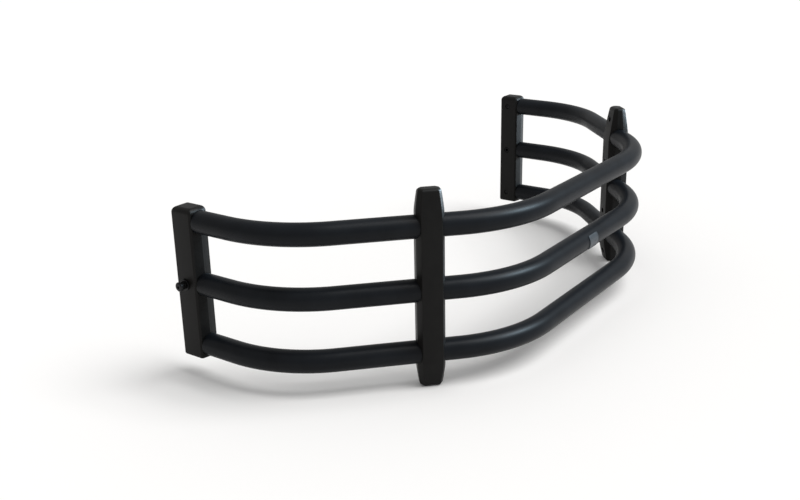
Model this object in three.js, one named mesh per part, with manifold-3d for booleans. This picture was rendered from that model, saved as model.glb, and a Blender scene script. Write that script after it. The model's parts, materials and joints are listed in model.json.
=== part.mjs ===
// Three-tube bed extender for a pickup truck.
//
// Three bent aluminium tubes run as parallel U shapes between two end posts. Two moulded
// uprights clamp round the tubes on the slanted stretches and carry the load on the floor.
// A stud with a turning roller on the outside of each end post is the pivot on which the
// whole cage hangs in its truck brackets and swings over.
//
// Millimetres. +Z is up, X runs across the truck, and -Y is the closed front of the U.
// The origin is the centre of the bounding box, at floor level.

import * as THREE from 'three';
import { mergeVertices } from 'three/addons/utils/BufferGeometryUtils.js';
import Module from 'manifold-3d';

// ---- driving dimensions ----------------------------------------------------

const GAP = 0.3;                          // clearance between pieces that touch

const TUBE_D = 44.45;                     // 1.75 in tube
const TUBE_WALL = 2.0;
const TUBE_PITCH = 124.5;                 // vertical distance between tube centres
const LOW_TUBE_Z = 69;
const TUBE_LEVELS = ['bottom', 'middle', 'top'];

const FRONT_HALF = 175;                   // half of the straight front stretch
const FRONT_BEND_R = 280;                 // centreline radii
const FRONT_BEND = THREE.MathUtils.degToRad(43.7);
const SLANT = 237;                        // straight stretch between the two bends
const SIDE_BEND_R = 249;
const SIDE_BEND = Math.PI / 2 - FRONT_BEND;
const SIDE_STRAIGHT = 70;                 // from the side bend to the end post
const BEND_STEPS = 5;
const TUBE_SIDES = 16;
const BORE_SIDES = 8;
const SADDLE_SIDES = 24;
const ROUND_SIDES = 16;                   // pivot pieces and necks
const HOLE_SIDES = 10;                    // bolt holes, bosses and seats
const SCREW_SIDES = 8;

const NECK_D = 34;                        // swaged tube end inside the end post
const NECK_LENGTH = 38;
const NECK_WALL = 3;
const SHOULDER_LEAD = 0.5;                // the swage's shoulder, ahead of the post's front edges

const POST_W = 45;                        // end post: across the truck
const POST_DEPTH = 50;                    // along the truck, at the side edges
const POST_CROWN = 4;                     // how far the front face's crest stands proud
const POST_BELOW = 26;                    // below the bottom tube's centre
const POST_ABOVE = 28;                    // above the top tube's centre
const POST_TOP_CHAMFER = 11;
const POST_FOOT_CHAMFER = 5;
const POST_EDGE = 3;
const POST_WALL = 4;
const POST_SPLIT = 5;                     // casing meets cover this far inboard of the tubes
const POST_BOLT_LINE = 28.5;              // from the front edges to the bolts and the pivot

const UPRIGHT_W = 54;                     // along the tube
const UPRIGHT_OUT = 26;                   // square to the tube, outwards from its centre
const UPRIGHT_IN = 24.5;                  // and inwards
const UPRIGHT_H = 390;
const UPRIGHT_ALONG = 57.5;               // from the front bend's end to the upright
const UPRIGHT_WALL = 4;
const UPRIGHT_BEVEL_W = 7.5;              // all four long edges
const UPRIGHT_BEVEL_D = 17;               // outer long edges
const UPRIGHT_INNER_BEVEL_D = 15;
const UPRIGHT_FACE_TAPER = 5.5;
const UPRIGHT_FACE_TAPER_H = 42;
const UPRIGHT_DEPTH_TAPER = 12;
const UPRIGHT_DEPTH_TAPER_H = 80;         // at the top
const UPRIGHT_DEPTH_TAPER_FOOT = 55;      // at the bottom
const UPRIGHT_TIP_CHAMFER = 6;
const UPRIGHT_FOOT_SCREW = 25;            // end screws, from the upright's ends
const UPRIGHT_TOP_SCREW = 29;

const SCREW_R = 3;                        // M6 low-head screws
const SCREW_HEAD_R = 5.5;
const SCREW_HEAD_H = 3;
const SCREW_SOCKET_R = 2.4;
const SCREW_SOCKET_DEPTH = 2;
const SCREW_TIP_DRAW = 0.8;               // chamfer at the thread's end: across
const SCREW_TIP_LENGTH = 1.2;             // and along
const SCREW_CUP = 0.8;                    // clearance round a sunk head
const HOLE_RUN_OUT = 1;                   // how far a blind hole runs past its screw
const HOLE_SKIN = 1;                      // left between a blind hole and the post's outer face
const UPRIGHT_SEAT = 12;                  // screw seats below the upright's inner face
const UPRIGHT_BITE = 12;                  // thread length in the upright's outer half
const POST_SEAT = 3.4;                    // screw seats below the cover's face
const BOSS_R = 7.5;
const RIB_T = 3;

const PIVOT_R = 4;                        // M8 bolt
const PIVOT_HEAD_R = 9.5;
const PIVOT_HEAD_H = 4.5;
const PIVOT_TIP = 1;                      // chamfer at the bolt's end
const PIVOT_END = 14;                     // how far the bolt reaches inboard of the tube
const ROLLER_R = 8;
const ROLLER_BORE_R = 4.4;
const ROLLER_EDGE = 1;
const ROLLER_LENGTH = 10;
const WASHER_R = 11.5;
const WASHER_T = 2.5;
const WASHER_EDGE = 0.6;
const NUT_HEAD_R = 7;
const NUT_HEAD_EDGE = 1.2;
const NUT_BARREL_R = 5.5;
const NUT_BARREL = 14;

const BADGE_W = 39;
const BADGE_H = 31;
const BADGE_T = 1.0;

// ---- worked-out places -----------------------------------------------------

const TUBE_R = TUBE_D / 2;
const tubeZ = (level) => LOW_TUBE_Z + level * TUBE_PITCH;
const TOP_TUBE_Z = tubeZ(TUBE_LEVELS.length - 1);
const FRONT_SIN = Math.sin(FRONT_BEND);
const FRONT_COS = Math.cos(FRONT_BEND);

const SLANT_START_X = FRONT_HALF + FRONT_BEND_R * FRONT_SIN;
const SLANT_START_Y = FRONT_BEND_R * (1 - FRONT_COS);
const ARM_X = SLANT_START_X + SLANT * FRONT_COS + SIDE_BEND_R * (1 - FRONT_SIN);
const ARM_START_Y = SLANT_START_Y + SLANT * FRONT_SIN + SIDE_BEND_R * FRONT_COS;

const POST_CREST_Y = ARM_START_Y + SIDE_STRAIGHT;      // plan, from the front centreline
const POST_FRONT_Y = POST_CREST_Y + POST_CROWN;
const POST_REAR_Y = POST_FRONT_Y + POST_DEPTH;
const TUBE_STOP_Y = POST_FRONT_Y - SHOULDER_LEAD;      // shoulder of the swaged end
const BOLT_Y = POST_FRONT_Y + POST_BOLT_LINE;
const BADGE_FRONT_Y = -TUBE_R - GAP - BADGE_T;
const ORIGIN_Y = (POST_REAR_Y + BADGE_FRONT_Y) / 2;

const POST_BOTTOM_Z = LOW_TUBE_Z - POST_BELOW;
const POST_TOP_Z = TOP_TUBE_Z + POST_ABOVE;

const UPRIGHT_X = SLANT_START_X + UPRIGHT_ALONG * FRONT_COS;
const UPRIGHT_Y = SLANT_START_Y + UPRIGHT_ALONG * FRONT_SIN;
const UPRIGHT_SCREW_Z = [UPRIGHT_FOOT_SCREW, tubeZ(0.5), tubeZ(1.5), UPRIGHT_H - UPRIGHT_TOP_SCREW];

// ---- finishes ----------------------------------------------------------------

const finish = (color, roughness, metalness) => (
  new THREE.MeshStandardMaterial({ color, roughness, metalness })
);
const POWDER_BLACK = finish(0x1b1d1f, 0.45, 0.1);
const MOULDED_BLACK = finish(0x1a1917, 0.6, 0);
const ROLLER_BLACK = finish(0x141414, 0.5, 0);
const SCREW_BLACK = finish(0x1c1c1e, 0.35, 0.8);
const BADGE_GREY = finish(0x3c4246, 0.4, 0.2);

// ---- solids ------------------------------------------------------------------

const wasm = await Module();
wasm.setup();

function solidOf(geometry) {
  const bare = geometry.clone();
  bare.deleteAttribute('normal');
  bare.deleteAttribute('uv');
  const merged = mergeVertices(bare, 1e-4);
  return new wasm.Manifold(new wasm.Mesh({
    numProp: 3,
    vertProperties: new Float32Array(merged.attributes.position.array),
    triVerts: new Uint32Array(merged.index.array),
  }));
}

function geometryOf(solid) {
  const mesh = solid.getMesh();
  const geometry = new THREE.BufferGeometry();
  const positions = new Float32Array(mesh.vertProperties);
  geometry.setAttribute('position', new THREE.BufferAttribute(positions, 3));
  geometry.setIndex(new THREE.BufferAttribute(new Uint32Array(mesh.triVerts), 1));
  geometry.computeVertexNormals();
  return geometry;
}

function box(low, high) {
  const size = high.map((value, axis) => value - low[axis]);
  const geometry = new THREE.BoxGeometry(...size);
  geometry.translate(...low.map((value, axis) => value + size[axis] / 2));
  return solidOf(geometry);
}

// A round bar along one axis ('x', 'y' or 'z'), from one end of that axis to the other.
function bar(radius, axis, from, to, across, sides = ROUND_SIDES) {
  const geometry = new THREE.CylinderGeometry(radius, radius, to - from, sides);
  const middle = (from + to) / 2;
  if (axis === 'x') {
    geometry.rotateZ(Math.PI / 2);
    geometry.translate(middle, across[0], across[1]);
  } else if (axis === 'y') {
    geometry.translate(across[0], middle, across[1]);
  } else {
    geometry.rotateX(Math.PI / 2);
    geometry.translate(across[0], across[1], middle);
  }
  return solidOf(geometry);
}

function barX(radius, one, other, across) {
  return bar(radius, 'x', Math.min(one, other), Math.max(one, other), across, HOLE_SIDES);
}

// Everything between two planes square to X.
function slabX(one, other) {
  const reach = 1000;
  return box([Math.min(one, other), -reach, -reach], [Math.max(one, other), reach, reach]);
}

// An outline in one plane, extruded both ways along the plane's normal.
function prism(points, plane, reach) {
  const shape = new THREE.Shape(points.map(([u, v]) => new THREE.Vector2(u, v)));
  const geometry = new THREE.ExtrudeGeometry(shape, { depth: 2 * reach, bevelEnabled: false });
  geometry.translate(0, 0, -reach);
  if (plane === 'xz') {
    geometry.rotateX(Math.PI / 2);
  } else if (plane === 'yz') {
    geometry.rotateX(Math.PI / 2);
    geometry.rotateZ(Math.PI / 2);
  }
  return solidOf(geometry);
}

function lathe(profile, sides) {
  const points = profile.map(([radius, height]) => new THREE.Vector2(radius, height));
  return new THREE.LatheGeometry(points, sides);
}

// ---- bent tubes --------------------------------------------------------------

// The centreline of one tube, as stations at the ends of each straight and round each bend.
class TubePath extends THREE.Curve {
  constructor(endLength) {
    super();
    this.points = [];
    this.tangents = [];
    this.position = new THREE.Vector3(-ARM_X, ARM_START_Y + endLength, 0);
    this.heading = -Math.PI / 2;
    this.mark();
    this.straight(endLength);
    this.bend(SIDE_BEND_R, SIDE_BEND);
    this.straight(SLANT);
    this.bend(FRONT_BEND_R, FRONT_BEND);
    this.straight(2 * FRONT_HALF);
    this.bend(FRONT_BEND_R, FRONT_BEND);
    this.straight(SLANT);
    this.bend(SIDE_BEND_R, SIDE_BEND);
    this.straight(endLength);
    this.steps = this.points.length - 1;
  }

  mark() {
    this.points.push(this.position.clone());
    this.tangents.push(new THREE.Vector3(Math.cos(this.heading), Math.sin(this.heading), 0));
  }

  straight(length) {
    this.position.addScaledVector(this.tangents.at(-1), length);
    this.mark();
  }

  bend(radius, angle) {
    const step = angle / BEND_STEPS;
    for (let i = 0; i < BEND_STEPS; i += 1) {
      const chord = 2 * radius * Math.sin(step / 2);
      const direction = this.heading + step / 2;
      this.position.x += chord * Math.cos(direction);
      this.position.y += chord * Math.sin(direction);
      this.heading += step;
      this.mark();
    }
  }

  getPointAt(u, target = new THREE.Vector3()) {
    return target.copy(this.points[Math.round(u * this.steps)]);
  }

  getTangentAt(u, target = new THREE.Vector3()) {
    return target.copy(this.tangents[Math.round(u * this.steps)]);
  }
}

function circle(radius, sides) {
  const path = new THREE.Shape();
  for (let i = 0; i <= sides; i += 1) {
    const angle = (i / sides) * 2 * Math.PI;
    const x = radius * Math.cos(angle);
    const y = radius * Math.sin(angle);
    if (i === 0) {
      path.moveTo(x, y);
    } else {
      path.lineTo(x, y);
    }
  }
  return path;
}

function sweep(radius, sides, endLength) {
  const path = new TubePath(endLength);
  const options = { steps: path.steps, extrudePath: path, bevelEnabled: false };
  return solidOf(new THREE.ExtrudeGeometry(circle(radius, sides), options));
}

// The tube keeps its full diameter up to the post, then is swaged down to the neck.
function tubeGeometry(boltHoleR) {
  const shoulder = TUBE_STOP_Y - GAP;
  const inside = sweep(TUBE_R - TUBE_WALL, BORE_SIDES, shoulder - TUBE_WALL - ARM_START_Y);
  let tube = sweep(TUBE_R, TUBE_SIDES, shoulder - ARM_START_Y);
  for (const x of [-ARM_X, ARM_X]) {
    tube = tube.add(bar(NECK_D / 2, 'y', shoulder - 1, shoulder + NECK_LENGTH, [x, 0]));
  }
  tube = tube.subtract(inside);
  for (const x of [-ARM_X, ARM_X]) {
    const boreR = NECK_D / 2 - NECK_WALL;
    const boreFrom = shoulder - 3 * TUBE_WALL;
    tube = tube.subtract(bar(boreR, 'y', boreFrom, POST_REAR_Y, [x, 0], BORE_SIDES));
    tube = tube.subtract(bar(boltHoleR, 'x', x - TUBE_R, x + TUBE_R, [BOLT_Y, 0], HOLE_SIDES));
  }
  return geometryOf(tube);
}

// ---- uprights ----------------------------------------------------------------

// Local frame: X along the tube, -Y outwards, Z up from the floor.
// "inset" gives the hollow core inside a wall of that thickness.
function uprightBlock(inset) {
  const w = UPRIGHT_W / 2 - inset;
  const out = UPRIGHT_OUT - inset;
  const back = UPRIGHT_IN - inset;
  const section = [
    [-w + UPRIGHT_BEVEL_W, -out],
    [w - UPRIGHT_BEVEL_W, -out],
    [w, -out + UPRIGHT_BEVEL_D],
    [w, back - UPRIGHT_INNER_BEVEL_D],
    [w - UPRIGHT_BEVEL_W, back],
    [-w + UPRIGHT_BEVEL_W, back],
    [-w, back - UPRIGHT_INNER_BEVEL_D],
    [-w, -out + UPRIGHT_BEVEL_D],
  ];
  const faceHeights = [UPRIGHT_FACE_TAPER_H, UPRIGHT_FACE_TAPER_H];
  const flankHeights = [UPRIGHT_DEPTH_TAPER_FOOT, UPRIGHT_DEPTH_TAPER_H];
  const face = endTapered(-w, w, UPRIGHT_FACE_TAPER, faceHeights, inset);
  const flank = endTapered(-out, back, UPRIGHT_DEPTH_TAPER, flankHeights, inset);
  const reach = 2 * UPRIGHT_W;
  const tall = prism(section, 'xy', UPRIGHT_H + reach);
  return tall.intersect(prism(face, 'xz', reach)).intersect(prism(flank, 'yz', reach));
}

// A tall outline from left to right that narrows towards both ends, with chamfered tips.
function endTapered(left, right, taper, [footHeight, topHeight], inset) {
  const tip = taper + UPRIGHT_TIP_CHAMFER;
  const foot = inset + UPRIGHT_TIP_CHAMFER;
  return [
    [left + tip, inset],
    [right - tip, inset],
    [right - taper, foot],
    [right, footHeight],
    [right, UPRIGHT_H - topHeight],
    [right - taper, UPRIGHT_H - foot],
    [right - tip, UPRIGHT_H - inset],
    [left + tip, UPRIGHT_H - inset],
    [left + taper, UPRIGHT_H - foot],
    [left, UPRIGHT_H - topHeight],
    [left, footHeight],
    [left + taper, foot],
  ];
}

// The spaces between the tube saddles, each with a boss for its screw and a rib through it.
function uprightPockets() {
  const saddle = TUBE_R + UPRIGHT_WALL;
  const reach = 2 * UPRIGHT_W;
  let core = uprightBlock(UPRIGHT_WALL);
  for (let level = 0; level < TUBE_LEVELS.length; level += 1) {
    const z = tubeZ(level);
    core = core.subtract(box([-reach, -reach, z - saddle], [reach, reach, z + saddle]));
  }
  for (const z of UPRIGHT_SCREW_Z) {
    core = core.subtract(bar(BOSS_R, 'y', -reach, reach, [0, z], HOLE_SIDES));
    core = core.subtract(box([-reach, -reach, z - RIB_T / 2], [reach, reach, z + RIB_T / 2]));
  }
  return core;
}

function uprightHalves() {
  const reach = 2 * UPRIGHT_W;
  const seat = UPRIGHT_IN - UPRIGHT_SEAT;
  const hole = SCREW_R + GAP;
  let block = uprightBlock(0).subtract(uprightPockets());
  for (let level = 0; level < TUBE_LEVELS.length; level += 1) {
    const z = tubeZ(level);
    block = block.subtract(bar(TUBE_R + GAP, 'x', -reach, reach, [0, z], SADDLE_SIDES));
  }
  for (const z of UPRIGHT_SCREW_Z) {
    const from = -UPRIGHT_BITE - HOLE_RUN_OUT;
    block = block.subtract(bar(hole, 'y', from, seat + 1, [0, z], HOLE_SIDES));
    block = block.subtract(bar(SCREW_HEAD_R + SCREW_CUP, 'y', seat, reach, [0, z], HOLE_SIDES));
  }
  const outer = block.intersect(box([-reach, -reach, -1], [reach, -GAP / 2, UPRIGHT_H + 1]));
  const inner = block.intersect(box([-reach, GAP / 2, -1], [reach, reach, UPRIGHT_H + 1]));
  return { outer: geometryOf(outer), inner: geometryOf(inner) };
}

// ---- fasteners ---------------------------------------------------------------

// A button-head socket screw pointing down -Y from the underside of its head at the origin.
function screwGeometry(length) {
  const body = solidOf(lathe([
    [0, -length],
    [SCREW_R - SCREW_TIP_DRAW, -length],
    [SCREW_R, -length + SCREW_TIP_LENGTH],
    [SCREW_R, 0],
    [SCREW_HEAD_R, 0],
    [SCREW_HEAD_R, SCREW_HEAD_H * 0.35],
    [SCREW_HEAD_R * 0.8, SCREW_HEAD_H * 0.8],
    [SCREW_HEAD_R * 0.5, SCREW_HEAD_H],
    [0, SCREW_HEAD_H],
  ], SCREW_SIDES));
  const from = SCREW_HEAD_H - SCREW_SOCKET_DEPTH;
  const socket = bar(SCREW_SOCKET_R, 'y', from, SCREW_HEAD_H + 1, [0, 0], 6);
  return geometryOf(body.subtract(socket));
}

// ---- end posts ---------------------------------------------------------------

// Plan frame: X from the tube's centreline, Y from the post's front edges, Z up from the floor.
// The front face has a shallow crest down its middle. "inset" gives the hollow core.
function postBlock(inset) {
  const w = POST_W / 2 - inset;
  const rear = POST_DEPTH - inset;
  const crest = inset - POST_CROWN;
  const corner = crest + POST_CROWN * (w - POST_EDGE) / w;
  const bottom = POST_BOTTOM_Z + inset;
  const top = POST_TOP_Z - inset;
  const cap = POST_TOP_CHAMFER;
  const foot = POST_FOOT_CHAMFER;
  const section = [
    [0, crest],
    [w - POST_EDGE, corner],
    [w, inset + POST_EDGE],
    [w, rear - POST_EDGE],
    [w - POST_EDGE, rear],
    [-w + POST_EDGE, rear],
    [-w, rear - POST_EDGE],
    [-w, inset + POST_EDGE],
    [-w + POST_EDGE, corner],
  ];
  const face = cappedOutline(-w, w, bottom, top, foot, cap);
  const flank = cappedOutline(crest, rear, bottom, top, foot, cap);
  const tall = prism(section, 'xy', POST_TOP_Z + 10);
  return tall.intersect(prism(face, 'xz', 2 * POST_W)).intersect(prism(flank, 'yz', 2 * POST_W));
}

function cappedOutline(left, right, bottom, top, foot, cap) {
  return [
    [left + foot, bottom],
    [right - foot, bottom],
    [right, bottom + foot],
    [right, top - cap],
    [right - cap, top],
    [left + cap, top],
    [left, top - cap],
    [left, bottom + foot],
  ];
}

// Hollow between the tube sockets, with a rib half way.
function postPockets() {
  const reach = 2 * POST_W;
  const socket = NECK_D / 2 + POST_WALL;
  let core = postBlock(POST_WALL);
  for (let level = 0; level < TUBE_LEVELS.length; level += 1) {
    const z = tubeZ(level);
    const rib = z + TUBE_PITCH / 2;
    core = core.subtract(box([-reach, -reach, z - socket], [reach, reach, z + socket]));
    core = core.subtract(box([-reach, -reach, rib - RIB_T / 2], [reach, reach, rib + RIB_T / 2]));
  }
  return core;
}

// side is -1 for the left post and 1 for the right one; inboard is the other way.
function postHalves(side) {
  const reach = 2 * POST_W;
  const split = -side * POST_SPLIT;
  const face = -side * POST_W / 2;
  const hole = SCREW_R + GAP;
  let block = postBlock(0).subtract(postPockets());
  for (let level = 0; level < TUBE_LEVELS.length; level += 1) {
    const z = tubeZ(level);
    const stop = TUBE_STOP_Y - POST_FRONT_Y;
    block = block.subtract(bar(TUBE_R + GAP, 'y', -reach, stop, [0, z], SADDLE_SIDES));
    block = block.subtract(bar(NECK_D / 2 + GAP, 'y', -reach, NECK_LENGTH + GAP, [0, z]));
  }
  let casing = block.intersect(slabX(split + side * GAP / 2, side * reach));
  let cover = block.intersect(slabX(split - side * GAP / 2, -side * reach));
  for (const level of [0, 2]) {
    const centre = [POST_BOLT_LINE, tubeZ(level)];
    casing = casing.subtract(barX(hole, side * (POST_W / 2 - HOLE_SKIN), split, centre));
    cover = cover.subtract(barX(hole, split, face, centre));
    const cup = barX(SCREW_HEAD_R + SCREW_CUP, face + side * POST_SEAT, 2 * face, centre);
    cover = cover.subtract(cup);
  }
  const centre = [POST_BOLT_LINE, tubeZ(1)];
  casing = casing.subtract(barX(PIVOT_R + GAP, side * POST_W, 0, centre));
  cover = cover.subtract(barX(NUT_BARREL_R + GAP, split, face, centre));
  cover = cover.subtract(barX(NUT_HEAD_R + SCREW_CUP, face + side * POST_SEAT, 2 * face, centre));
  return { casing: geometryOf(casing), cover: geometryOf(cover) };
}

// ---- pivots ------------------------------------------------------------------

// All three lie along Y, with +Y pointing outboard and y = 0 on the post's outer face.
const ROLLER_FROM = 2 * GAP + WASHER_T;
const PIVOT_HEAD_FROM = ROLLER_FROM + ROLLER_LENGTH + GAP;

function ring(inner, outer, from, to, edge) {
  return lathe([
    [inner, from],
    [outer - edge, from],
    [outer, from + edge],
    [outer, to - edge],
    [outer - edge, to],
    [inner, to],
    [inner, from],
  ], ROUND_SIDES);
}

function pivotBoltGeometry() {
  const end = -POST_W / 2 - PIVOT_END;
  const head = PIVOT_HEAD_FROM;
  return lathe([
    [0, end],
    [PIVOT_R - PIVOT_TIP, end],
    [PIVOT_R, end + PIVOT_TIP],
    [PIVOT_R, head],
    [PIVOT_HEAD_R, head],
    [PIVOT_HEAD_R, head + PIVOT_HEAD_H * 0.4],
    [PIVOT_HEAD_R * 0.85, head + PIVOT_HEAD_H * 0.8],
    [PIVOT_HEAD_R * 0.5, head + PIVOT_HEAD_H],
    [0, head + PIVOT_HEAD_H],
  ], ROUND_SIDES);
}

// A sleeve nut: low head with a threaded barrel, from the underside of its head at the origin.
function pivotNutGeometry() {
  return lathe([
    [PIVOT_R + GAP, -NUT_BARREL],
    [NUT_BARREL_R, -NUT_BARREL],
    [NUT_BARREL_R, 0],
    [NUT_HEAD_R, 0],
    [NUT_HEAD_R, SCREW_HEAD_H * 0.5],
    [NUT_HEAD_R - NUT_HEAD_EDGE, SCREW_HEAD_H],
    [PIVOT_R + GAP, SCREW_HEAD_H],
    [PIVOT_R + GAP, -NUT_BARREL],
  ], ROUND_SIDES);
}

// ---- badge -------------------------------------------------------------------

// A thin blank plate bent round the front of the middle tube.
function badgeGeometry() {
  const inner = TUBE_R + GAP;
  const outer = inner + BADGE_T;
  const half = Math.asin(BADGE_H / 2 / outer);
  const shape = new THREE.Shape();
  shape.absarc(0, 0, outer, Math.PI - half, Math.PI + half, false);
  shape.absarc(0, 0, inner, Math.PI + half, Math.PI - half, true);
  const options = { depth: BADGE_W, bevelEnabled: false, curveSegments: 8 };
  const geometry = new THREE.ExtrudeGeometry(shape, options);
  geometry.translate(0, 0, -BADGE_W / 2);
  geometry.rotateX(Math.PI / 2);
  geometry.rotateZ(Math.PI / 2);
  return geometry;
}

// ---- assembly ----------------------------------------------------------------

function piece(name, geometry, material, x = 0, y = 0, z = 0) {
  const mesh = new THREE.Mesh(geometry, material);
  mesh.name = name;
  mesh.position.set(x, y, z);
  return mesh;
}

function addTubes(parent) {
  const plain = tubeGeometry(SCREW_R + GAP);
  const pivoted = tubeGeometry(NUT_BARREL_R + GAP);
  TUBE_LEVELS.forEach((levelName, level) => {
    const geometry = levelName === 'middle' ? pivoted : plain;
    parent.add(piece(`tube_${levelName}`, geometry, POWDER_BLACK, 0, 0, tubeZ(level)));
  });
  parent.add(piece('badge_plate', badgeGeometry(), BADGE_GREY, 0, 0, tubeZ(1)));
}

function addUprights(parent) {
  const { outer, inner } = uprightHalves();
  const seat = UPRIGHT_IN - UPRIGHT_SEAT;
  const screw = screwGeometry(seat + UPRIGHT_BITE);
  for (const [name, side] of [['left', -1], ['right', 1]]) {
    const upright = new THREE.Group();
    upright.position.set(side * UPRIGHT_X, UPRIGHT_Y, 0);
    upright.rotation.z = side * FRONT_BEND;
    upright.add(piece(`upright_${name}_outer`, outer, MOULDED_BLACK));
    upright.add(piece(`upright_${name}_inner`, inner, MOULDED_BLACK));
    UPRIGHT_SCREW_Z.forEach((z, index) => {
      upright.add(piece(`upright_${name}_screw_${index + 1}`, screw, SCREW_BLACK, 0, seat, z));
    });
    parent.add(upright);
  }
}

function addPosts(parent) {
  const seat = POST_W / 2 - POST_SEAT;
  const screw = screwGeometry(seat + POST_W / 2 - HOLE_SKIN - HOLE_RUN_OUT);
  const bolt = pivotBoltGeometry();
  const nut = pivotNutGeometry();
  const washer = ring(PIVOT_R + GAP, WASHER_R, GAP, GAP + WASHER_T, WASHER_EDGE);
  const roller = ring(ROLLER_BORE_R, ROLLER_R, ROLLER_FROM, ROLLER_FROM + ROLLER_LENGTH, ROLLER_EDGE);
  for (const [name, side] of [['left', -1], ['right', 1]]) {
    const post = new THREE.Group();
    post.position.set(side * ARM_X, POST_FRONT_Y, 0);
    const { casing, cover } = postHalves(side);
    post.add(piece(`end_post_${name}_casing`, casing, MOULDED_BLACK));
    post.add(piece(`end_post_${name}_cover`, cover, MOULDED_BLACK));
    for (const level of [0, 2]) {
      const label = `end_post_${name}_screw_${TUBE_LEVELS[level]}`;
      const fastener = piece(label, screw, SCREW_BLACK, -side * seat, POST_BOLT_LINE, tubeZ(level));
      fastener.rotation.z = side * Math.PI / 2;
      post.add(fastener);
    }
    const pivot = new THREE.Group();
    pivot.position.set(side * POST_W / 2, POST_BOLT_LINE, tubeZ(1));
    pivot.rotation.z = -side * Math.PI / 2;
    pivot.add(piece(`pivot_bolt_${name}`, bolt, SCREW_BLACK));
    pivot.add(piece(`pivot_washer_${name}`, washer, SCREW_BLACK));
    pivot.add(piece(`pivot_roller_${name}`, roller, ROLLER_BLACK));
    post.add(pivot);
    const sleeve = piece(`pivot_nut_${name}`, nut, SCREW_BLACK, -side * seat, POST_BOLT_LINE, tubeZ(1));
    sleeve.rotation.z = side * Math.PI / 2;
    post.add(sleeve);
    parent.add(post);
  }
}

const bedExtender = new THREE.Group();
bedExtender.position.y = -ORIGIN_Y;
addTubes(bedExtender);
addUprights(bedExtender);
addPosts(bedExtender);

export default bedExtender;
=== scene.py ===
"""Pickup bed extender: fine surfaces, materials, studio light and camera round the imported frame.

Metres. +Z is up, X runs across the truck, and -Y is the closed front of the cage.
"""

import json
import math

import bmesh
import bpy
from mathutils import Matrix, Vector

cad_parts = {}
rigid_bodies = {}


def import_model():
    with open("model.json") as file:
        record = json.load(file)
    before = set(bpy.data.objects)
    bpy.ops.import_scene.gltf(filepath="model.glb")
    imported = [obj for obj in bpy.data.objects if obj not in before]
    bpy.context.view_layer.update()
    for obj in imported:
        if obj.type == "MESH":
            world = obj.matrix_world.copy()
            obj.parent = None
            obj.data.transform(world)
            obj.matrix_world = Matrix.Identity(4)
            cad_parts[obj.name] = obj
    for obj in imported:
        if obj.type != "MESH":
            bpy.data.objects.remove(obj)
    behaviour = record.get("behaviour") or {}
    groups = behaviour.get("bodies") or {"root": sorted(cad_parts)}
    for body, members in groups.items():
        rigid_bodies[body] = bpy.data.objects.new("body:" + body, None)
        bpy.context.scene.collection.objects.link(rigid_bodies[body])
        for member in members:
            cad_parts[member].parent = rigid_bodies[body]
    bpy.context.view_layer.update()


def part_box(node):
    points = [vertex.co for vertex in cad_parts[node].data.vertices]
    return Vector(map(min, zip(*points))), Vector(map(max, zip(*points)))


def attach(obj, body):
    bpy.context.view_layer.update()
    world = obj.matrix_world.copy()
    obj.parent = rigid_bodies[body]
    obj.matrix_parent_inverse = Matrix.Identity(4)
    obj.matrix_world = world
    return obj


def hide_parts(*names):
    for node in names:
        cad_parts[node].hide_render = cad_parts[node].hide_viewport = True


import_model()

SIDES = {"left": -1, "right": 1}
LEVELS = ("bottom", "middle", "top")
MM = 0.001
GAP = 0.3 * MM

# ---- places read from the frame ---------------------------------------------------------------

tube_low, tube_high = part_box("tube_middle")
TUBE_R = (tube_high.z - tube_low.z) / 2
ARM_X = tube_high.x - TUBE_R
FRONT_Y = tube_low.y + TUBE_R
TUBE_END_Y = tube_high.y
TUBE_Z = {level: sum(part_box(f"tube_{level}"), Vector()).z / 2 for level in LEVELS}

casing_low, casing_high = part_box("end_post_right_casing")
POST_HALF_W = casing_high.x - ARM_X
POST_CREST_Y, POST_REAR_Y = casing_low.y, casing_high.y
POST_FOOT_Z, POST_TOP_Z = casing_low.z, casing_high.z

# ---- sizes that the boxes don't give -------------------------------------------------------------

TUBE_WALL = 2 * MM
FRONT_HALF = 175 * MM
FRONT_BEND_R = 280 * MM
FRONT_BEND = math.radians(43.7)
SIDE_BEND_R = 249 * MM
SIDE_BEND = math.pi / 2 - FRONT_BEND
NECK_R = 17 * MM
NECK_WALL = 3 * MM
NECK_LENGTH = 38 * MM

POST_CROWN = 4 * MM
POST_SPLIT = 5 * MM
POST_WALL = 4 * MM
POST_TOP_ROUND = 11 * MM
POST_FOOT_ROUND = 5 * MM

UPRIGHT_HALF_W = 27 * MM
UPRIGHT_OUT = 26 * MM
UPRIGHT_IN = 24.5 * MM
UPRIGHT_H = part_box("upright_left_outer")[1].z
UPRIGHT_ALONG = 57.5 * MM
UPRIGHT_BEVEL = (7.5 * MM, 17 * MM)
UPRIGHT_INNER_BEVEL = (7.5 * MM, 15 * MM)
UPRIGHT_FACE_TAPER = 5.5 * MM
UPRIGHT_FACE_TAPER_H = 42 * MM
UPRIGHT_DEPTH_TAPER = 12 * MM
UPRIGHT_DEPTH_TAPER_H = {"foot": 55 * MM, "top": 80 * MM}
UPRIGHT_TIP = 6 * MM
UPRIGHT_WALL = 4 * MM
UPRIGHT_SEAT_Y = 12.5 * MM
UPRIGHT_BITE = 12 * MM

POST_SEAT = 3.4 * MM
HOLE_SKIN = 1 * MM
HOLE_RUN_OUT = 1 * MM

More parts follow.
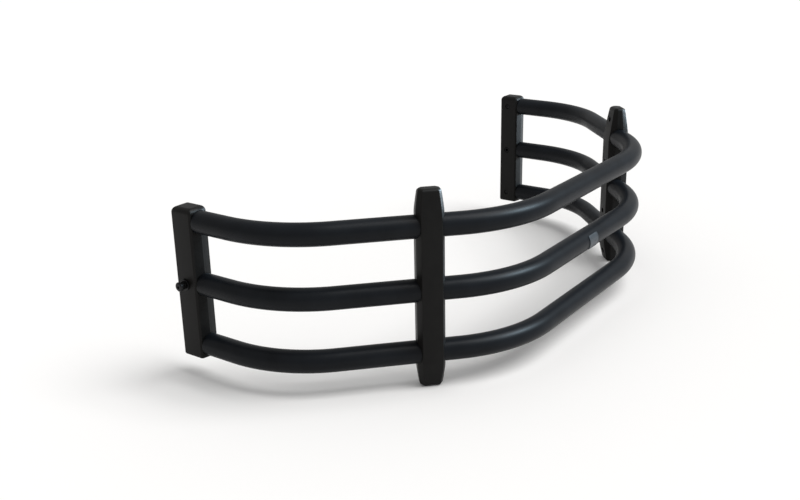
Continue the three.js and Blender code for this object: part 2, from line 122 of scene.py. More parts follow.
SCREW_R = 3 * MM
SCREW_HEAD_R = 5.5 * MM
SCREW_HEAD_H = 3 * MM
SCREW_CUP_R = 6.3 * MM
BOLT_R = 4 * MM
NUT_BARREL_R = 5.5 * MM
NUT_BARREL = 14 * MM
NUT_HEAD_R = 7 * MM
NUT_CUP_R = 7.8 * MM
ROLLER_BORE_R = 4.4 * MM
PIVOT_HEAD_R = 9.5 * MM
PIVOT_HEAD_H = 4.5 * MM
ROLLER_R = 8 * MM
ROLLER_LENGTH = 10 * MM
WASHER_R = 11.5 * MM
WASHER_T = 2.5 * MM
PIVOT_END = 14 * MM
BOSS_R = 7.5 * MM
RIB_T = 3 * MM

SHOULDER_Y = TUBE_END_Y - NECK_LENGTH
SLANT = (ARM_X - FRONT_HALF - FRONT_BEND_R * math.sin(FRONT_BEND)
         - SIDE_BEND_R * (1 - math.sin(FRONT_BEND))) / math.cos(FRONT_BEND)
ARM_START_Y = (FRONT_Y + FRONT_BEND_R * (1 - math.cos(FRONT_BEND))
               + SLANT * math.sin(FRONT_BEND) + SIDE_BEND_R * math.cos(FRONT_BEND))


# ---- material nodes ---------------------------------------------------------------------------

def new_material(name, colour, roughness, metallic=0.0, specular=0.5):
    """A new material and its shader, with those values on the shader's own sockets."""
    material = bpy.data.materials.new(name)
    material.use_nodes = True
    shader = material.node_tree.nodes["Principled BSDF"]
    shader.inputs["Base Color"].default_value = (*colour, 1)
    shader.inputs["Roughness"].default_value = roughness
    shader.inputs["Metallic"].default_value = metallic
    shader.inputs["Specular IOR Level"].default_value = specular
    return material, shader


def add_node(material, kind, links=None, **values):
    """A node of that kind. "links" maps input names to output sockets, "values" sets properties."""
    node = material.node_tree.nodes.new(kind)
    for key, value in values.items():
        setattr(node, key, value)
    for key, value in (links or {}).items():
        if isinstance(value, bpy.types.NodeSocket):
            material.node_tree.links.new(value, node.inputs[key])
        else:
            node.inputs[key].default_value = value
    return node


def link(material, output, target):
    material.node_tree.links.new(output, target)


def position(material):
    return add_node(material, "ShaderNodeTexCoord").outputs["Object"]


def noise(material, size, detail=2.0, roughness=0.5):
    """Noise whose features are about that size in metres, from 0 to 1."""
    node = add_node(material, "ShaderNodeTexNoise", {
        "Vector": position(material), "Scale": 1 / size, "Detail": detail, "Roughness": roughness})
    return node.outputs["Fac"]


def pits(material, size):
    node = add_node(material, "ShaderNodeTexVoronoi", {
        "Vector": position(material), "Scale": 1 / size}, feature="SMOOTH_F1")
    return node.outputs["Distance"]


def spread(material, value, low, high):
    """Maps 0 to 1 onto low to high."""
    node = add_node(material, "ShaderNodeMapRange", {"Value": value, "To Min": low, "To Max": high})
    return node.outputs["Result"]


def tint(material, value, dark, light):
    """A colour that runs from dark to light as the value runs over the middle of its range."""
    ramp = add_node(material, "ShaderNodeValToRGB", {"Fac": value})
    ramp.color_ramp.elements[0].position = 0.3
    ramp.color_ramp.elements[1].position = 0.7
    ramp.color_ramp.elements[0].color = (*dark, 1)
    ramp.color_ramp.elements[1].color = (*light, 1)
    return ramp.outputs["Color"]


def bump(material, height, distance, strength, under=None):
    links = {"Height": height, "Distance": distance, "Strength": strength}
    if under is not None:
        links["Normal"] = under
    return add_node(material, "ShaderNodeBump", links).outputs["Normal"]


def powder_coat():
    """Satin black powder coat: a soft orange peel under a fine grain."""
    material, shader = new_material("powder_coat", (0.0055, 0.0065, 0.008), 0.4, specular=0.12)
    cloud = noise(material, 45 * MM, 3)
    grain = noise(material, 0.9 * MM, 3, 0.6)
    link(material, tint(material, cloud, (0.0036, 0.0044, 0.0058), (0.006, 0.0072, 0.0092)),
         shader.inputs["Base Color"])
    link(material, spread(material, grain, 0.32, 0.46), shader.inputs["Roughness"])
    peel = bump(material, noise(material, 3.2 * MM, 2), 0.05 * MM, 0.5)
    link(material, bump(material, grain, 0.05 * MM, 0.8, peel), shader.inputs["Normal"])
    return material


def moulded(name, colour, roughness, grain_size):
    """Glass-filled nylon with a spark-eroded grain and a faint flow pattern."""
    material, shader = new_material(name, colour, roughness, specular=0.13)
    flow = noise(material, 30 * MM, 4, 0.55)
    dark = [c * 0.78 for c in colour]
    light = [c * 1.25 for c in colour]
    link(material, tint(material, flow, dark, light), shader.inputs["Base Color"])
    pit = pits(material, grain_size)
    link(material, spread(material, flow, roughness - 0.06, roughness + 0.06),
         shader.inputs["Roughness"])
    wave = bump(material, flow, 0.12 * MM, 0.25)
    link(material, bump(material, pit, 0.06 * MM, 0.7, wave), shader.inputs["Normal"])
    return material


def plated():
    """Black zinc on steel: dark metal with a little colour drift and rubbed high spots."""
    material, shader = new_material("screw_black", (0.015, 0.015, 0.016), 0.34, 0.85)
    drift = noise(material, 2.5 * MM, 3)
    link(material, tint(material, drift, (0.01, 0.01, 0.011), (0.022, 0.0215, 0.0225)),
         shader.inputs["Base Color"])
    link(material, spread(material, drift, 0.26, 0.46), shader.inputs["Roughness"])
    link(material, bump(material, noise(material, 0.4 * MM, 2), 0.01 * MM, 0.5),
         shader.inputs["Normal"])
    return material


def label_plate():
    """Satin blue-grey plate, finely brushed across."""
    material, shader = new_material("badge", (0.05, 0.06, 0.07), 0.4, 0.3)
    streak = add_node(material, "ShaderNodeMapping", {"Vector": position(material)})
    streak.inputs["Scale"].default_value = (200, 2500, 2500)
    lines = add_node(material, "ShaderNodeTexNoise", {"Vector": streak.outputs["Vector"], "Scale": 1.0})
    link(material, tint(material, lines.outputs["Fac"], (0.022, 0.027, 0.033), (0.045, 0.054, 0.064)),
         shader.inputs["Base Color"])
    link(material, spread(material, lines.outputs["Fac"], 0.3, 0.5), shader.inputs["Roughness"])
    link(material, bump(material, lines.outputs["Fac"], 0.02 * MM, 0.5), shader.inputs["Normal"])
    return material


FINISHES = {
    "powder_coat": powder_coat(),
    "moulded_black": moulded("moulded_black", (0.0046, 0.0043, 0.004), 0.42, 0.8 * MM),
    "roller_black": moulded("roller_black", (0.006, 0.006, 0.006), 0.4, 0.6 * MM),
    "screw_black": plated(),
    "badge": label_plate(),
}


# ---- mesh tools -------------------------------------------------------------------------------

def loft(name, rings, closed=False):
    """A skin over rings of equal point counts. Its ends are capped, or joined if it is closed."""
    count = len(rings[0])
    points = [point for ring in rings for point in ring]
    faces = []
    for k in range(len(rings) if closed else len(rings) - 1):
        here, there = k * count, (k + 1) % len(rings) * count
        for i in range(count):
            j = (i + 1) % count
            faces.append((here + i, here + j, there + j, there + i))
    if not closed:
        faces.append(tuple(range(count)))
        faces.append(tuple(range(len(points) - count, len(points))))
    mesh = bpy.data.meshes.new(name)
    mesh.from_pydata([tuple(point) for point in points], [], faces)
    work = bmesh.new()
    work.from_mesh(mesh)
    bmesh.ops.recalc_face_normals(work, faces=work.faces)
    work.to_mesh(mesh)
    work.free()
    piece = bpy.data.objects.new(name, mesh)
    bpy.context.scene.collection.objects.link(piece)
    return piece


def lathe(name, profile, sides=64):
    """A solid turned about Y from (radius, y) pairs, whose two ends lie on the axis or meet."""
    on_axis = profile[0][0] == 0
    outline = profile[1:-1] if on_axis else profile[:-1]
    rings = []
    for radius, y in outline:
        turns = [2 * math.pi * k / sides for k in range(sides)]
        rings.append([Vector((radius * math.cos(a), y, radius * math.sin(a))) for a in turns])
    return loft(name, rings, closed=not on_axis)


def eased(profile, radius, steps=4):
    """The profile with each corner rounded to about that radius, its two ends left as they are."""
    result = [profile[0]]
    for before, corner, after in zip(profile, profile[1:], profile[2:]):
        result.extend(corner_arc(before, corner, after, radius, steps))
    result.append(profile[-1])
    return result


def corner_arc(before, corner, after, radius, steps):
    """Points of the arc that rounds one corner of an outline."""
    corner = Vector(corner)
    back, on = Vector(before) - corner, Vector(after) - corner
    if back.length < 1e-9 or on.length < 1e-9:
        return [tuple(corner)]
    half = back.angle(on) / 2
    if half > math.radians(88):
        return [tuple(corner)]
    reach = min(radius / math.tan(half), 0.45 * back.length, 0.45 * on.length)
    first = corner + back.normalized() * reach
    last = corner + on.normalized() * reach
    centre = corner + (back.normalized() + on.normalized()).normalized() * (reach / math.cos(half))
    arc = []
    for k in range(steps + 1):
        spoke = (first - centre).lerp(last - centre, k / steps)
        arc.append(tuple(centre + spoke.normalized() * (first - centre).length))
    return arc


def rounded(outline, radius, steps=4):
    """A closed outline with every corner rounded, always by the same number of points."""
    result = []
    for k, corner in enumerate(outline):
        before, after = outline[k - 1], outline[(k + 1) % len(outline)]
        result.extend(corner_arc(before, corner, after, radius, steps))
    return result


def bar(radius, start, end, sides=48, flare=0.0):
    """A round cutter between two points, which opens out by "flare" at both of its ends."""
    start, end = Vector(start), Vector(end)
    length = (end - start).length
    profile = [(0, 0), (radius + flare, 0), (radius, flare), (radius, length - flare),
               (radius + flare, length), (0, length)]
    piece = lathe("cutter", profile if flare else [*profile[:2], *profile[4:]], sides)
    turn = Vector((0, 1, 0)).rotation_difference(end - start).to_matrix().to_4x4()
    piece.data.transform(Matrix.Translation(start) @ turn)
    return piece


def block(low, high):
    """A box as a cutter."""
    rings = []
    for z in (low[2], high[2]):
        rings.append([Vector((low[0], low[1], z)), Vector((high[0], low[1], z)),
                      Vector((high[0], high[1], z)), Vector((low[0], high[1], z))])
    return loft("cutter", rings)


def combine(piece, operation, *tools):
    """Joins, cuts or intersects the piece with each tool in turn, and removes the tools."""
    for tool in tools:
        step = piece.modifiers.new("combine", "BOOLEAN")
        step.operation = operation
        step.solver = "MANIFOLD"
        step.object = tool
        graph = bpy.context.evaluated_depsgraph_get()
        result = bpy.data.meshes.new_from_object(piece.evaluated_get(graph))
        piece.modifiers.clear()
        piece.data = result
        bpy.data.objects.remove(tool)
    return piece


def copy_of(piece):
    twin = piece.copy()
    twin.data = piece.data.copy()
    bpy.context.scene.collection.objects.link(twin)
    return twin


def finish_piece(piece, name, body, finish, node=None, place=Matrix(), smooth_deg=32):
    """Names, places and shades a piece, gives it its finish, and hangs it on its body."""
    piece.name = name
    piece.data.name = name
    piece.data.transform(place)
    if place.is_negative:
        piece.data.flip_normals()
    work = bmesh.new()
    work.from_mesh(piece.data)
    bmesh.ops.remove_doubles(work, verts=work.verts, dist=0.002 * MM)
    work.to_mesh(piece.data)
    work.free()
    piece.data.shade_smooth()
    piece.data.set_sharp_from_angle(angle=math.radians(smooth_deg))
    piece.data.materials.clear()
    piece.data.materials.append(FINISHES[finish])
    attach(piece, body)
    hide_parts(node or name)
    return piece


# ---- bent tubes -------------------------------------------------------------------------------

END_STRAIGHT = TUBE_END_Y - ARM_START_Y
HALF_PATH = [
    (END_STRAIGHT, 0.0),
    (SIDE_BEND_R * SIDE_BEND, SIDE_BEND),
    (SLANT, 0.0),
    (FRONT_BEND_R * FRONT_BEND, FRONT_BEND),
]
PATH = [*HALF_PATH, (2 * FRONT_HALF, 0.0), *reversed(HALF_PATH)]
PATH_LENGTH = sum(length for length, turn in PATH)


def path_place(distance):
    """The point and heading after that distance along a tube's centreline from its left end."""
    point = Vector((-ARM_X, TUBE_END_Y))
    heading = -math.pi / 2
    for length, turn in PATH:
        part = min(distance, length)
        angle = turn * part / length
        chord = part if turn == 0 else 2 * length / turn * math.sin(angle / 2)
        point += chord * Vector((math.cos(heading + angle / 2), math.sin(heading + angle / 2)))
        heading += angle
        distance -= part
        if distance <= 0:
            break
    return point, heading


def tube_ring(distance, radius, z, sides):
    point, heading = path_place(distance)
    across = Vector((-math.sin(heading), math.cos(heading), 0))
    centre = Vector((*point, z))
    ring = []
    for k in range(sides):
        angle = 2 * math.pi * k / sides
        ring.append(centre + radius * (math.cos(angle) * across + math.sin(angle) * Vector((0, 0, 1))))
    return ring


def path_stations(start, step):
    """Distances at about that step, with one at the end of every straight and bend."""
    stations = []
    done = 0.0
    for length, turn in PATH:
        count = max(1, round(length / step))
        stations.extend(done + length * k / count for k in range(count))
        done += length
    stations.append(done)
    return [d for d in stations if start < d < PATH_LENGTH - start]


def tube(level):
    """A bent tube with swaged ends, as one closed skin over its outside and its bore."""
    z = TUBE_Z[level]
    neck = NECK_LENGTH
    ease = 2 * MM
    outer = [(0, NECK_R - 0.8 * MM), (0.8 * MM, NECK_R), (neck - GAP, NECK_R)]
    for k in range(5):
        turn = math.pi / 2 * k / 4
        outer.append((neck + ease * (1 - math.cos(turn)), TUBE_R - ease * (1 - math.sin(turn))))
    inner = [(0, NECK_R - NECK_WALL), (neck, NECK_R - NECK_WALL), (neck + 3 * MM, TUBE_R - TUBE_WALL)]
    rings = []
    for ends, radius, way in ((outer, TUBE_R, 1), (inner, TUBE_R - TUBE_WALL, -1)):
        middle = [(d, radius) for d in path_stations(ends[-1][0] + MM, 7 * MM)]
        right = [(PATH_LENGTH - d, r) for d, r in reversed(ends)]
        rings.extend(tube_ring(d, r, z, 72) for d, r in [*ends, *middle, *right][::way])
    piece = loft("tube", rings, closed=True)
    hole = NUT_BARREL_R + GAP if level == "middle" else SCREW_R + GAP
    for side in SIDES.values():
        x = side * ARM_X
        combine(piece, "DIFFERENCE",
                bar(hole, (x - TUBE_R, BOLT_Y, z), (x + TUBE_R, BOLT_Y, z), 32))
    return finish_piece(piece, f"tube_{level}_skin", "cage", "powder_coat", f"tube_{level}")


# ---- uprights ---------------------------------------------------------------------------------

def end_inset(distance, taper, height, tip):
    """How far a side has drawn in at that distance from the end: a slow taper, then a round."""
    inset = 0.0
    if distance < height:
        inset += taper * (1 - distance / height) ** 1.15
    if distance < tip:
        inset += tip - math.sqrt(tip ** 2 - (tip - distance) ** 2)
    return inset


def heights(low, high, fine_low, fine_high, steps=12):
    """Levels from low to high, crowded towards both ends."""
    result = []
    for k in range(steps):
        result.append(low + fine_low * (1 - math.cos(math.pi / 2 * k / steps)))
    middle = max(2, round((high - low - fine_low - fine_high) / (8 * MM)))
    for k in range(middle + 1):
        result.append(low + fine_low + (high - fine_high - low - fine_low) * k / middle)
    for k in reversed(range(steps)):
        result.append(high - fine_high * (1 - math.cos(math.pi / 2 * k / steps)))
    return result


def upright_body(inset):
    """The closed outside of an upright, or with an inset its hollow core. -Y is outwards."""
    w, out, back = UPRIGHT_HALF_W - inset, UPRIGHT_OUT - inset, UPRIGHT_IN - inset
    bevel_w, bevel_d = UPRIGHT_BEVEL
    inner_w, inner_d = UPRIGHT_INNER_BEVEL
    half = [(w - bevel_w, -out), (w, bevel_d - out), (w, back - inner_d), (w - inner_w, back)]
    outline = rounded([*half, *[(-x, y) for x, y in reversed(half)]], 2.2 * MM)
    low, high = inset, UPRIGHT_H - inset
    rings = []
    for z in heights(low, high, UPRIGHT_DEPTH_TAPER_H["foot"], UPRIGHT_DEPTH_TAPER_H["top"], 24):
        face, flank = 0.0, 0.0
        for end, distance in (("foot", z - low), ("top", high - z)):
            face += end_inset(distance, UPRIGHT_FACE_TAPER, UPRIGHT_FACE_TAPER_H, UPRIGHT_TIP)
            flank += end_inset(distance, UPRIGHT_DEPTH_TAPER, UPRIGHT_DEPTH_TAPER_H[end], UPRIGHT_TIP)
        wide, front, rear = 1 - face / w, 1 - flank / out, 1 - flank / back
        rings.append([Vector((x * wide, y * (front if y < 0 else rear), z)) for x, y in outline])
    return loft("upright", rings)


def upright_screw_heights():
    """Where an upright's four screws stand, from its CAD screws."""
    levels = []
    for k in range(1, 5):
        low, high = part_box(f"upright_left_screw_{k}")
        levels.append((low.z + high.z) / 2)
    return levels


def upright_halves():
    reach = 0.1
    far = 2 * UPRIGHT_H
    screws = upright_screw_heights()
    core = upright_body(UPRIGHT_WALL)
    saddle = TUBE_R + UPRIGHT_WALL
    for level in LEVELS:
        z = TUBE_Z[level]
        combine(core, "DIFFERENCE", block((-reach, -reach, z - saddle), (reach, reach, z + saddle)))
    for z in screws:
        combine(core, "DIFFERENCE", bar(BOSS_R, (0, -reach, z), (0, reach, z)),
                block((-reach, -reach, z - RIB_T / 2), (reach, reach, z + RIB_T / 2)))
    body = combine(upright_body(0), "DIFFERENCE", core)
    edge = UPRIGHT_HALF_W + 0.6 * MM
    for level in LEVELS:
        z = TUBE_Z[level]
        combine(body, "DIFFERENCE",
                bar(TUBE_R + GAP, (-edge, 0, z), (edge, 0, z), 96, 1.4 * MM))
    for z in screws:
        combine(body, "DIFFERENCE",
                bar(SCREW_R + GAP, (0, -UPRIGHT_BITE - HOLE_RUN_OUT, z), (0, UPRIGHT_SEAT_Y + MM, z), 32),
                bar(SCREW_CUP_R, (0, UPRIGHT_SEAT_Y, z), (0, UPRIGHT_IN + 0.4 * MM, z), 48))
    inner = copy_of(body)
    combine(body, "INTERSECT", block((-reach, -reach, -reach), (reach, -GAP / 2, far)))
    combine(inner, "INTERSECT", block((-reach, GAP / 2, -reach), (reach, reach, far)))
    return body, inner


def screw(length):
    """A button-head socket screw pointing down -Y, its head's underside at the origin."""
    head = [(0, -length), (SCREW_R - 0.8 * MM, -length), (SCREW_R, 1.2 * MM - length), (SCREW_R, 0),
            (SCREW_HEAD_R, 0), (SCREW_HEAD_R, 0.9 * MM)]
    for k in range(1, 8):
        turn = math.pi / 2 * k / 8
        head.append((SCREW_HEAD_R * math.cos(turn) ** 0.8,
                     0.9 * MM + (SCREW_HEAD_H - 0.9 * MM) * math.sin(turn)))
    head.append((0, SCREW_HEAD_H))
    piece = lathe("screw", head, 48)
    return combine(piece, "DIFFERENCE",
                   bar(2.4 * MM, (0, MM, 0), (0, SCREW_HEAD_H + MM, 0), 6))


def add_uprights():
    outer, inner = upright_halves()
    fastener = screw(UPRIGHT_SEAT_Y + UPRIGHT_BITE)
    slant_start = PATH_LENGTH - sum(length for length, turn in HALF_PATH[:3])
    spot, heading = path_place(slant_start + UPRIGHT_ALONG)
    for name, side in SIDES.items():
        turn = Matrix.Rotation(side * heading, 4, "Z")
        place = Matrix.Translation((side * spot.x, spot.y, 0)) @ turn
        for half, piece in (("outer", outer), ("inner", inner)):
            node = f"upright_{name}_{half}"
            finish_piece(copy_of(piece), f"{node}_shell", "cage", "moulded_black", node, place)
        for k, z in enumerate(upright_screw_heights()):
            node = f"upright_{name}_screw_{k + 1}"
            at = place @ Matrix.Translation((0, UPRIGHT_SEAT_Y, z))
            finish_piece(copy_of(fastener), f"{node}_fine", "cage", "screw_black", node, at)
    for piece in (outer, inner, fastener):
        bpy.data.objects.remove(piece)


# ---- end posts --------------------------------------------------------------------------------

BOLT_Y = sum(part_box("pivot_nut_right"), Vector()).y / 2
POST_FRONT_Y = POST_CREST_Y + POST_CROWN


def post_body(inset):
    """The closed outside of an end post in the row frame but with X from its tubes' line."""
    w, rear = POST_HALF_W - inset, POST_REAR_Y - inset
    crest, edge = POST_CREST_Y + inset, POST_FRONT_Y + inset
    side_edge = 3 * MM
    shoulder = crest + POST_CROWN * (w - side_edge) / w
    half = [(0, crest), (w - side_edge, shoulder), (w, edge + side_edge), (w, rear - side_edge),
            (w - side_edge, rear)]
    outline = rounded([*half, *[(-x, y) for x, y in reversed(half[1:])]], 2 * MM)
    middle_y, half_d = (crest + rear) / 2, (rear - crest) / 2
    low, high = POST_FOOT_Z + inset, POST_TOP_Z - inset
    rings = []
    for z in heights(low, high, POST_FOOT_ROUND, POST_TOP_ROUND):
        draw = (end_inset(z - low, 0, 1, POST_FOOT_ROUND)
                + end_inset(high - z, 0, 1, POST_TOP_ROUND))
        wide, deep = 1 - draw / w, 1 - draw / half_d
        rings.append([Vector((x * wide, middle_y + (y - middle_y) * deep, z)) for x, y in outline])
    return loft("post", rings)


def post_halves(side):
    """Casing and cover of one post. The cover is inboard, which is away from the given side."""
    reach = 0.2
    face = -side * POST_HALF_W
    split = -side * POST_SPLIT
    core = post_body(POST_WALL)
    socket = NECK_R + POST_WALL
    levels = [TUBE_Z[level] for level in LEVELS]
    for z in levels:
        combine(core, "DIFFERENCE", block((-reach, -reach, z - socket), (reach, reach + 1, z + socket)))
    for z in ((levels[0] + levels[1]) / 2, (levels[1] + levels[2]) / 2):
        combine(core, "DIFFERENCE",
                block((-reach, -reach, z - RIB_T / 2), (reach, reach + 1, z + RIB_T / 2)))
    body = combine(post_body(0), "DIFFERENCE", core)
    for z in levels:
        combine(body, "DIFFERENCE",
                bar(TUBE_R + GAP, (0, POST_CREST_Y - 1.0 * MM, z), (0, SHOULDER_Y + GAP, z), 96),
                bar(NECK_R + GAP, (0, POST_CREST_Y, z), (0, TUBE_END_Y + GAP, z), 64))
    outward = sorted((split + side * GAP / 2, side * reach))
    inward = sorted((split - side * GAP / 2, -side * reach))
    cover = copy_of(body)
    combine(body, "INTERSECT", block((outward[0], -reach, 0), (outward[1], reach + 1, 1)))
    combine(cover, "INTERSECT", block((inward[0], -reach, 0), (inward[1], reach + 1, 1)))
    seat = face + side * POST_SEAT
    for level, z in enumerate(levels):
        shank = NUT_BARREL_R + GAP if level == 1 else SCREW_R + GAP
        cup = NUT_CUP_R if level == 1 else SCREW_CUP_R
        combine(cover, "DIFFERENCE",
                bar(shank, (split, BOLT_Y, z), (face, BOLT_Y, z), 32),
                bar(cup, (seat, BOLT_Y, z), (face - side * MM, BOLT_Y, z), 48))
        if level == 1:
            combine(body, "DIFFERENCE",
                    bar(BOLT_R + GAP, (0, BOLT_Y, z), (side * (POST_HALF_W + MM), BOLT_Y, z), 32))
        else:
            combine(body, "DIFFERENCE",
                    bar(SCREW_R + GAP, (split, BOLT_Y, z), (side * (POST_HALF_W - HOLE_SKIN), BOLT_Y, z), 32))
    return body, cover


def add_posts():
    fastener = screw(2 * POST_HALF_W - POST_SEAT - HOLE_SKIN - HOLE_RUN_OUT)
    for name, side in SIDES.items():
        place = Matrix.Translation((side * ARM_X, 0, 0))
        casing, cover = post_halves(side)
        for half, piece in (("casing", casing), ("cover", cover)):
            node = f"end_post_{name}_{half}"
            finish_piece(piece, f"{node}_shell", "cage", "moulded_black", node, place)
        for level in ("bottom", "top"):
            node = f"end_post_{name}_screw_{level}"
            at = inboard_place(side, POST_HALF_W - POST_SEAT, TUBE_Z[level])
            finish_piece(copy_of(fastener), f"{node}_fine", "cage", "screw_black", node, at)
        add_pivot(name, side)
    bpy.data.objects.remove(fastener)


def inboard_place(side, depth, z):
    """A frame on a post's bolt line whose +Y points inboard, that far inboard of the tubes."""
    at = Matrix.Translation((side * (ARM_X - depth), BOLT_Y, z))
    return at @ Matrix.Rotation(side * math.pi / 2, 4, "Z")


# ---- pivots -----------------------------------------------------------------------------------

def add_pivot(name, side):
    """Bolt, washer, roller and sleeve nut, turned about Y with +Y outboard from the post's face."""
    z = TUBE_Z["middle"]
    at = Matrix.Translation((side * (ARM_X + POST_HALF_W), BOLT_Y, z))
    place = at @ Matrix.Rotation(-side * math.pi / 2, 4, "Z")
    washer_from, washer_to = GAP, GAP + WASHER_T
    roller_from = washer_to + GAP
    roller_to = roller_from + ROLLER_LENGTH
    head = roller_to + GAP
    end = -POST_HALF_W - PIVOT_END
    bolt_profile = eased([(0, end), (BOLT_R - 0.8 * MM, end), (BOLT_R, end + 0.8 * MM),
                          (BOLT_R, head), (PIVOT_HEAD_R, head), (PIVOT_HEAD_R, head + 2.4 * MM),
                          (6.8 * MM, head + PIVOT_HEAD_H), (0, head + PIVOT_HEAD_H)], 0.9 * MM)
    bolt = combine(lathe("bolt", bolt_profile),
                   "DIFFERENCE", bar(2.9 * MM, (0, head + 2.2 * MM, 0), (0, head + 6 * MM, 0), 6))
    washer = lathe("washer", ring_profile(BOLT_R + GAP, WASHER_R, washer_from, washer_to, 0.6 * MM))
    roller = lathe("roller", ring_profile(ROLLER_BORE_R, ROLLER_R, roller_from, roller_to, 1.0 * MM))
    nut_profile = eased([(BOLT_R + GAP, 0), (BOLT_R + GAP, -NUT_BARREL), (NUT_BARREL_R, -NUT_BARREL),
                         (NUT_BARREL_R, 0), (NUT_HEAD_R, 0), (NUT_HEAD_R, 1.6 * MM),
                         (NUT_HEAD_R - 1.3 * MM, SCREW_HEAD_H), (BOLT_R + GAP, SCREW_HEAD_H),
                         (BOLT_R + GAP, 0)], 0.4 * MM)
    finish_piece(bolt, f"pivot_bolt_{name}_fine", "cage", "screw_black", f"pivot_bolt_{name}", place)
    finish_piece(washer, f"pivot_washer_{name}_fine", "cage", "screw_black",
                 f"pivot_washer_{name}", place)
    finish_piece(roller, f"pivot_roller_{name}_fine", f"roller_{name}", "roller_black",
                 f"pivot_roller_{name}", place)
    finish_piece(lathe("nut", nut_profile), f"pivot_nut_{name}_fine", "cage", "screw_black",
                 f"pivot_nut_{name}", inboard_place(side, POST_HALF_W - POST_SEAT, z))


def ring_profile(inner, outer, start, end, edge):
    """A closed profile of a ring with rounded outer edges."""
    return eased([(inner, (start + end) / 2), (inner, start), (outer, start), (outer, end),
                  (inner, end), (inner, (start + end) / 2)], edge)


# ---- badge ------------------------------------------------------------------------------------

def plate_ring(half_u, half_v, radius, height):
    """A rounded rectangle wrapped round the front of the middle tube at that height above it."""
    radius = max(radius, 0.2 * MM)
    ring = []
    for corner, (su, sv) in enumerate(((1, 1), (-1, 1), (-1, -1), (1, -1))):
        for k in range(7):
            turn = math.pi / 2 * (corner + k / 6)
            ring.append((su * (half_u - radius) + radius * math.cos(turn),
                         sv * (half_v - radius) + radius * math.sin(turn)))
        if corner % 2:
            end_v = -sv * (half_v - radius)
            start_v = sv * (half_v - radius)
            ring.extend((su * half_u, start_v + (end_v - start_v) * k / 10) for k in range(1, 10))
        else:
            start_u, end_u = su * (half_u - radius), -su * (half_u - radius)
            ring.extend((start_u + (end_u - start_u) * k / 10, sv * half_v) for k in range(1, 10))
    return [wrapped(u, v, height) for u, v in ring]


def wrapped(u, v, height):
    angle = v / TUBE_R
    reach = TUBE_R + height
    return Vector((u, FRONT_Y - reach * math.cos(angle), TUBE_Z["middle"] + reach * math.sin(angle)))


def add_badge():
    """A blank plate with a raised rim."""
    half_u = 19.5 * MM
    half_v = 15.8 * MM
    back, field, rim = GAP, GAP + 0.6 * MM, GAP + 1.0 * MM
    steps = [(12, back), (8, back), (4, back), (0.2, back), (0, back + 0.2 * MM),
             (0, rim - 0.25 * MM), (0.25, rim), (1.5, rim), (1.9, field), (4, field), (8, field),
             (12, field)]
    rings = []
    for inset, height in steps:
        draw = inset * MM
        rings.append(plate_ring(half_u - draw, half_v - draw, 3.5 * MM - draw / 2, height))
    finish_piece(loft("badge", rings), "badge_plate_fine", "cage", "badge", "badge_plate")


# ---- stage, light and camera ------------------------------------------------------------------

def add_floor():
    rings = []
    for z in (-20 * MM, 0.0):
        corners = ((-20, -20), (20, -20), (20, 20), (-20, 20))
        rings.append([Vector((x, y, z)) for x, y in corners])
    floor = loft("studio_floor", rings)
    material, shader = new_material("studio_floor", (0.9, 0.9, 0.9), 0.9, specular=0.0)
    cloud = noise(material, 2.0, 2)
    link(material, tint(material, cloud, (0.895, 0.895, 0.895), (0.905, 0.905, 0.905)),
         shader.inputs["Base Color"])
    floor.data.materials.append(material)
    return floor


def add_softbox(name, where, target, size, watts, colour=(1, 1, 1)):
    light = bpy.data.lights.new(name, "AREA")
    light.shape = "RECTANGLE"
    light.size, light.size_y = size
    light.energy = watts
    light.color = colour
    lamp = bpy.data.objects.new(name, light)
    lamp.location = where
    away = Vector(where) - Vector(target)
    lamp.rotation_euler = away.to_track_quat("Z", "Y").to_euler()
    bpy.context.scene.collection.objects.link(lamp)
    return lamp


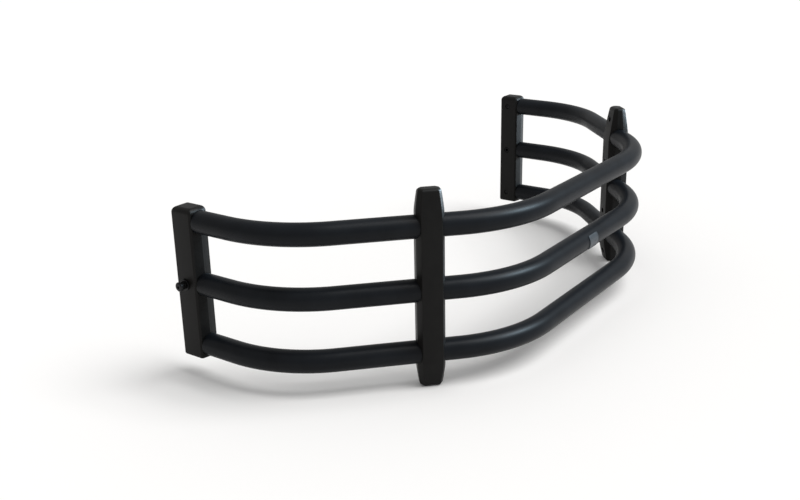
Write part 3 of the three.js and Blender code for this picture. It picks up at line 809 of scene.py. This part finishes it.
def add_sun(name, towards, spread_deg, strength, colour):
    """A very soft sun, seen in that direction from the object."""
    light = bpy.data.lights.new(name, "SUN")
    light.angle = math.radians(spread_deg)
    light.energy = strength
    light.color = colour
    lamp = bpy.data.objects.new(name, light)
    lamp.rotation_euler = Vector(towards).to_track_quat("Z", "Y").to_euler()
    bpy.context.scene.collection.objects.link(lamp)


def all_but(piece):
    """A light's receivers: everything except that piece."""
    receivers = bpy.data.collections.new("all_but_floor")
    receivers.objects.link(piece)
    receivers.collection_objects[0].light_linking.link_state = "EXCLUDE"
    return receivers


def moulded_pieces():
    """A light's receivers: the shells of the uprights and end posts."""
    receivers = bpy.data.collections.new("moulded_only")
    for piece in bpy.data.objects:
        if piece.name.endswith("_shell"):
            receivers.objects.link(piece)
    return receivers


def add_light(floor):
    """Soft light from above, and a softbox that shines on the cage but leaves the floor even."""
    world = bpy.data.worlds.new("studio")
    world.use_nodes = True
    sky = world.node_tree.nodes["Background"]
    sky.inputs["Color"].default_value = (1.0, 0.995, 0.985, 1)
    sky.inputs["Strength"].default_value = 0.56
    bpy.context.scene.world = world
    bpy.context.scene.view_settings.view_transform = "Standard"
    key = add_softbox("key", (0.95, -1.9, 1.95), (-0.1, -0.2, 0.2), (0.65, 0.5), 80, (0.66, 0.86, 1.0))
    key.light_linking.receiver_collection = all_but(floor)
    rim = add_softbox("rim", (2.1, -0.9, 0.55), (0.1, 0, 0.2), (0.9, 0.7), 100, (0.7, 0.87, 1.0))
    rim.light_linking.receiver_collection = moulded_pieces()
    add_sun("overhead", (0.45, -0.85, 1.7), 40, 2.1, (1.0, 0.99, 0.98))


def add_camera():
    lens = bpy.data.cameras.new("camera")
    lens.sensor_width = 36
    lens.lens = 45
    camera = bpy.data.objects.new("camera", lens)
    right = Vector((0.57757, -0.81608, -0.02060))
    up = Vector((0.28441, 0.17751, 0.94213))
    back = right.cross(up)
    turn = Matrix((right, up, back)).transposed()
    camera.matrix_world = Matrix.Translation((-1.8404, -1.10545, 0.8839)) @ turn.to_4x4()
    bpy.context.scene.collection.objects.link(camera)
    bpy.context.scene.camera = camera


add_camera()
for tube_level in LEVELS:
    tube(tube_level)
add_uprights()
add_posts()
add_badge()
add_light(add_floor())
